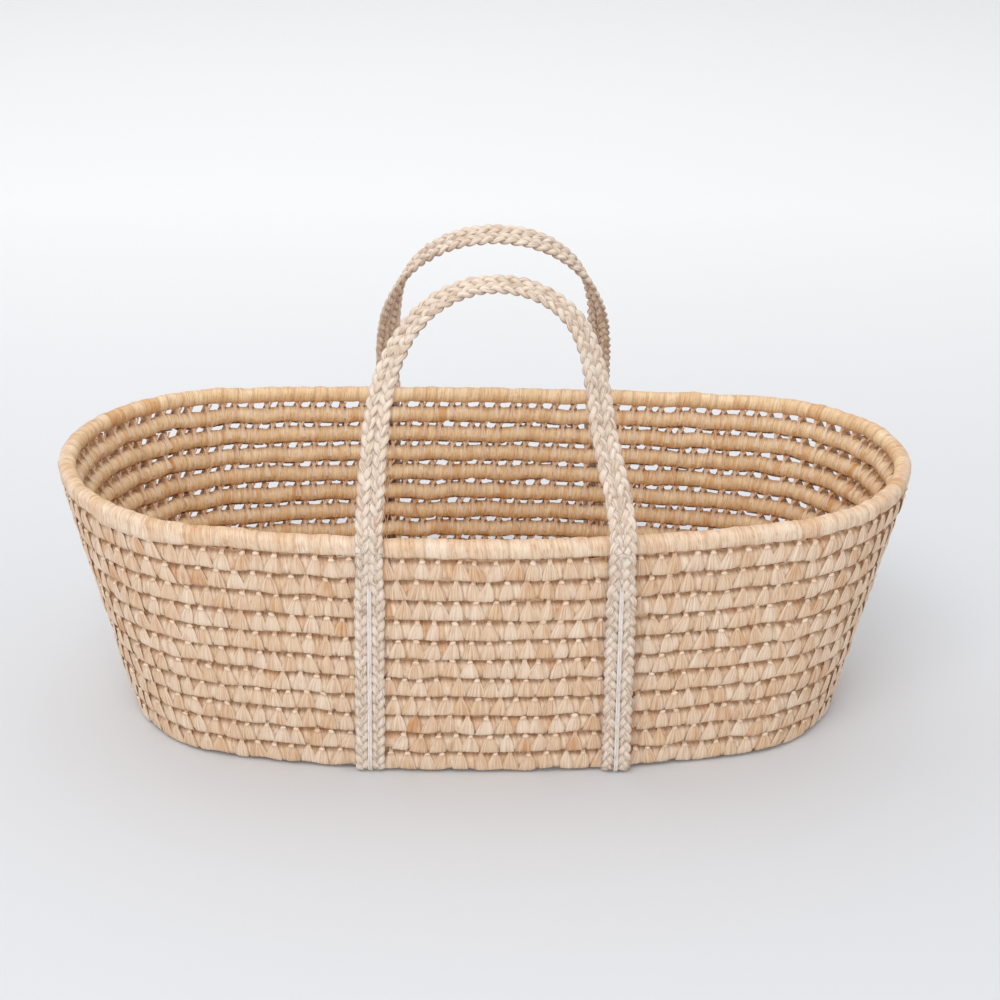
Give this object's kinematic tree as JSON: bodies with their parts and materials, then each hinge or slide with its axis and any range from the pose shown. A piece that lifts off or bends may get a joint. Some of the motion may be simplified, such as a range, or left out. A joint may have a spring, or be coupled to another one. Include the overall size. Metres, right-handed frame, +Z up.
{
  "type": "baby carrying basket",
  "caption": "Oval coiled palm-leaf baby basket with flared wall, flat base and a pair of hinged plaited carrying handles.",
  "frame": {"origin": "centre of the bounding box's footprint on the surface that the straps stand on", "axes": "+X along the basket towards the narrower foot end, -Y towards the front long wall, +Z up"},
  "size_m": [0.8399, 0.4048, 0.4767],
  "materials": {
    "wall_straw": "dry palm leaf wrapped round a rope core",
    "base_straw": "dry palm leaf, a little darker",
    "lacing_straw": "twisted palm leaf",
    "strap_plait": "pale plaited palm leaf",
    "seam_thread": "white cotton thread"
  },
  "bodies": {
    "basket": {"rim_coil": "wall_straw", "wall_coil_1": "wall_straw", "wall_coil_2": "wall_straw", "wall_coil_3": "wall_straw", "wall_coil_4": "wall_straw", "wall_coil_5": "wall_straw", "wall_coil_6": "wall_straw", "wall_coil_7": "wall_straw", "wall_coil_8": "wall_straw", "wall_coil_9": "wall_straw", "wall_coil_10": "wall_straw", "wall_coil_11": "wall_straw", "wall_lacing_1": "lacing_straw", "wall_lacing_2": "lacing_straw", "wall_lacing_3": "lacing_straw", "wall_lacing_4": "lacing_straw", "wall_lacing_5": "lacing_straw", "wall_lacing_6": "lacing_straw", "wall_lacing_7": "lacing_straw", "wall_lacing_8": "lacing_straw", "wall_lacing_9": "lacing_straw", "wall_lacing_10": "lacing_straw", "wall_lacing_11": "lacing_straw", "base_core": "base_straw", "base_coil_1": "base_straw", "base_coil_2": "base_straw", "base_coil_3": "base_straw", "base_coil_4": "base_straw", "base_coil_5": "base_straw", "base_coil_6": "base_straw", "base_lacing_1": "lacing_straw", "base_lacing_2": "lacing_straw", "base_lacing_3": "lacing_straw", "base_lacing_4": "lacing_straw", "base_lacing_5": "lacing_straw", "base_lacing_6": "lacing_straw", "base_lacing_7": "lacing_straw", "left_strap_outer_plait": "strap_plait", "left_strap_inner_plait": "strap_plait", "left_strap_seam": "seam_thread", "left_strap_tacks": "seam_thread", "right_strap_outer_plait": "strap_plait", "right_strap_inner_plait": "strap_plait", "right_strap_seam": "seam_thread", "right_strap_tacks": "seam_thread"},
    "front_handle": {"front_handle_outer_plait": "strap_plait", "front_handle_inner_plait": "strap_plait", "front_handle_seam": "seam_thread"},
    "back_handle": {"back_handle_outer_plait": "strap_plait", "back_handle_inner_plait": "strap_plait", "back_handle_seam": "seam_thread"}
  },
  "joints": [
    {"name": "front_handle_fold", "type": "hinge", "parent": "basket", "child": "front_handle", "pos_m": [0.008, -0.20016, 0.264], "axis": [-1, 0, 0], "range_deg": [-205, 19]},
    {"name": "back_handle_fold", "type": "hinge", "parent": "basket", "child": "back_handle", "pos_m": [0.008, 0.20016, 0.264], "axis": [1, 0, 0], "range_deg": [-205, 19]}
  ]
}
